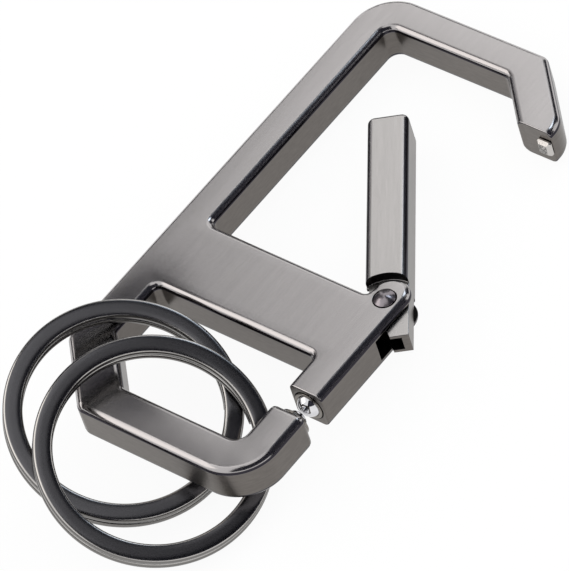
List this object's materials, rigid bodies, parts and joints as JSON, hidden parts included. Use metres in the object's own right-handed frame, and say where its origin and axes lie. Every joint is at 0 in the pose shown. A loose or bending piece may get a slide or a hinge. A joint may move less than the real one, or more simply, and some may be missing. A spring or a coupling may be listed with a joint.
{
  "type": "carabiner keychain",
  "caption": "Flat metal hook with a sprung inward gate, a web, and a ball-closed slot that holds split key rings.",
  "frame": {"origin": "middle of the web's back face, the flat face that the plate lies on", "axes": "+Z out of the front face, +Y along the spine towards the hook, +X from the spine to the gate's side"},
  "size_m": [0.0402, 0.089, 0.0154],
  "materials": {
    "frame_steel": "satin, polished edges",
    "gate_steel": "satin, polished edges",
    "rivet_steel": "dark polished",
    "bright_steel": "bright turned",
    "ball_steel": "mirror",
    "spring_steel": "drawn wire",
    "ring_steel": "dark satin"
  },
  "bodies": {
    "frame": {"frame": "frame_steel", "gate_rivet": "rivet_steel", "catch_stud": "bright_steel", "upper_ball_sleeve": "bright_steel", "lower_ball_sleeve": "bright_steel"},
    "gate": {"gate": "gate_steel", "gate_spring": "spring_steel"},
    "upper_ball": {"upper_ball": "ball_steel", "upper_ball_spring": "spring_steel"},
    "lower_ball": {"lower_ball": "ball_steel", "lower_ball_spring": "spring_steel"},
    "key_ring_back": {"key_ring_back": "ring_steel"},
    "key_ring_front": {"key_ring_front": "ring_steel"}
  },
  "joints": [
    {"name": "gate_pivot", "type": "hinge", "parent": "frame", "child": "gate", "pos_m": [0.0154, 0.0058, 0.00282], "axis": [0, 0, 1], "range_deg": [-37, 10], "stiffness_Nm_per_rad": 0.03, "springref_deg": -45.84},
    {"name": "upper_ball_slide", "type": "slide", "parent": "frame", "child": "upper_ball", "axis": [0, 1, 0], "range_m": [0, 0.0012], "stiffness_N_per_m": 400, "springref_m": -0.001},
    {"name": "lower_ball_slide", "type": "slide", "parent": "frame", "child": "lower_ball", "axis": [0, -1, 0], "range_m": [0, 0.0012], "stiffness_N_per_m": 400, "springref_m": -0.001},
    {"name": "back_ring_swing", "type": "hinge", "parent": "frame", "child": "key_ring_back", "pos_m": [0.00405, -0.02355, 0.001], "axis": [0, 1, 0], "range_deg": [0, 75]},
    {"name": "front_ring_swing", "type": "hinge", "parent": "frame", "child": "key_ring_front", "pos_m": [0.00405, -0.02355, 0.001], "axis": [0, 1, 0], "range_deg": [0, 75]}
  ],
  "couplings": [
    {"joint": "front_ring_swing", "follows": "back_ring_swing", "ratio": 1}
  ]
}
